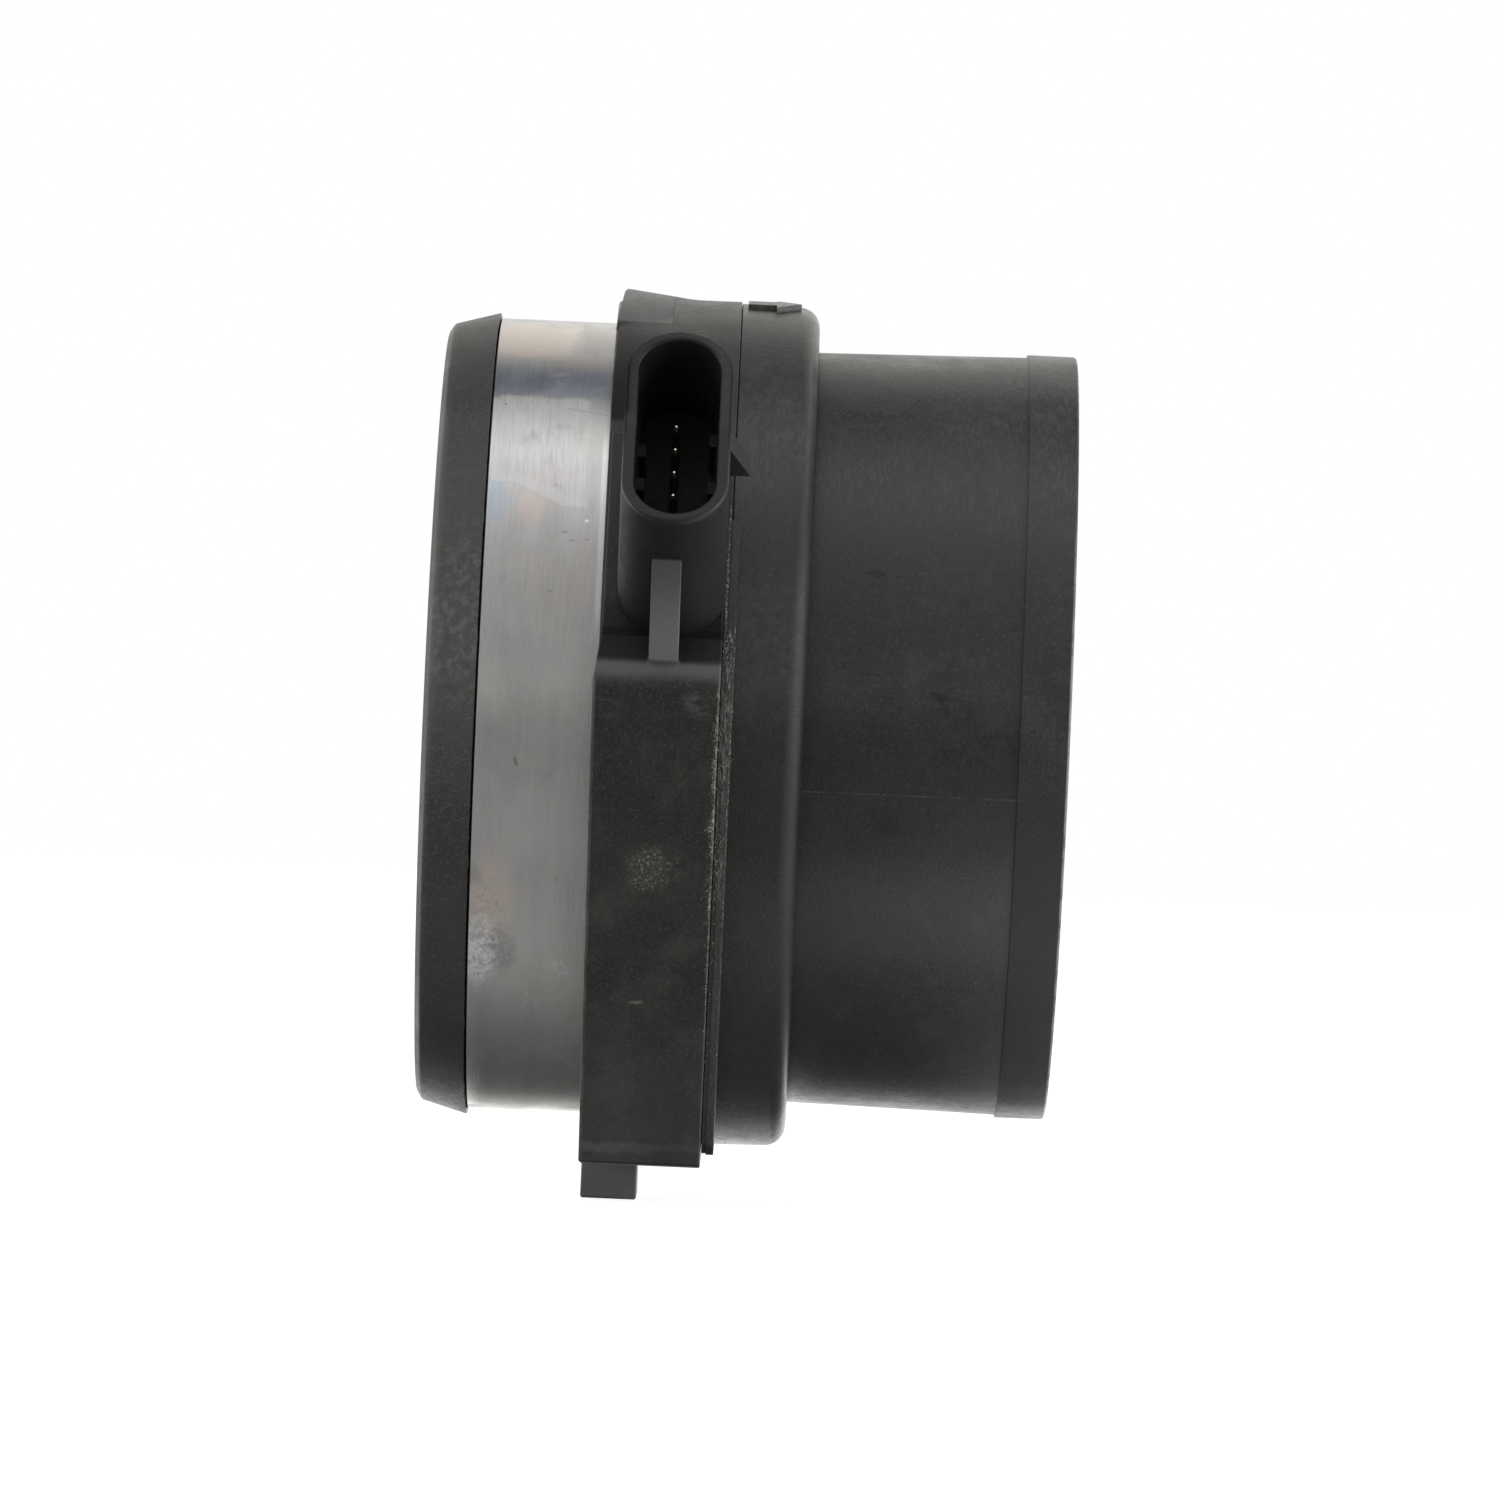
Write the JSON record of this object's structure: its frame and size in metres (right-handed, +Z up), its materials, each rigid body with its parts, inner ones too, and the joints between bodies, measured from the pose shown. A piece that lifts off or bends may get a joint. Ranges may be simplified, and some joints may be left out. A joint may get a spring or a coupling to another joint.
{
  "type": "mass air flow meter",
  "caption": "Round in-line air flow meter for an engine intake duct: clamp-on ends, metal sleeve, side electronics box and a tilted oval plug socket.",
  "frame": {"origin": "centre of the inlet opening, on the duct axis in the plane of the inlet end", "axes": "+X along the duct in the direction of air flow; +Z up, towards the ramped clip lug; the electronics box and the plug socket face -Y"},
  "size_m": [0.0732, 0.1224, 0.1062],
  "materials": {
    "housing_plastic": "moulded glass-filled nylon, fine grain",
    "ring_plastic": "moulded glass-filled nylon, fine grain",
    "inner_plastic": "moulded",
    "probe_plastic": "moulded",
    "sleeve_aluminium": "rolled, brushed round, stained",
    "plate_aluminium": "satin",
    "steel_wire": "drawn wire",
    "screw_steel": "plated",
    "terminal_brass": "tin-plated",
    "board_ceramic": "fired alumina",
    "film_glass": "thin film, glossy",
    "chip_plastic": "moulded",
    "capacitor_body": "fired",
    "seal_rubber": "matt"
  },
  "bodies": {
    "root": {"air_thermistor": "film_glass", "amplifier_chip": "chip_plastic", "bond_lead_1": "terminal_brass", "bond_lead_2": "terminal_brass", "bond_lead_3": "terminal_brass", "bond_lead_4": "terminal_brass", "capacitor_1": "capacitor_body", "capacitor_2": "capacitor_body", "capacitor_3": "capacitor_body", "circuit_board": "board_ceramic", "electronics_cover": "housing_plastic", "filter_capacitor": "capacitor_body", "flex_conductor": "terminal_brass", "flow_straightener": "inner_plastic", "heat_sink_plate": "plate_aluminium", "heater_transistor": "chip_plastic", "hot_film": "film_glass", "inlet_housing": "housing_plastic", "inlet_ring": "ring_plastic", "outlet_housing": "housing_plastic", "plate_screw_1": "screw_steel", "plate_screw_2": "screw_steel", "probe_body": "probe_plastic", "probe_cover": "probe_plastic", "probe_seal": "seal_rubber", "reference_film": "film_glass", "resistor_1": "chip_plastic", "resistor_2": "chip_plastic", "resistor_3": "chip_plastic", "resistor_4": "chip_plastic", "screen_retainer": "inner_plastic", "sensor_strip": "board_ceramic", "signal_chip": "chip_plastic", "support_sleeve": "sleeve_aluminium", "terminal_1": "terminal_brass", "terminal_2": "terminal_brass", "terminal_3": "terminal_brass", "terminal_4": "terminal_brass", "thermistor_lead_1": "screw_steel", "thermistor_lead_2": "screw_steel", "wire_screen": "steel_wire"}
  },
  "joints": []
}
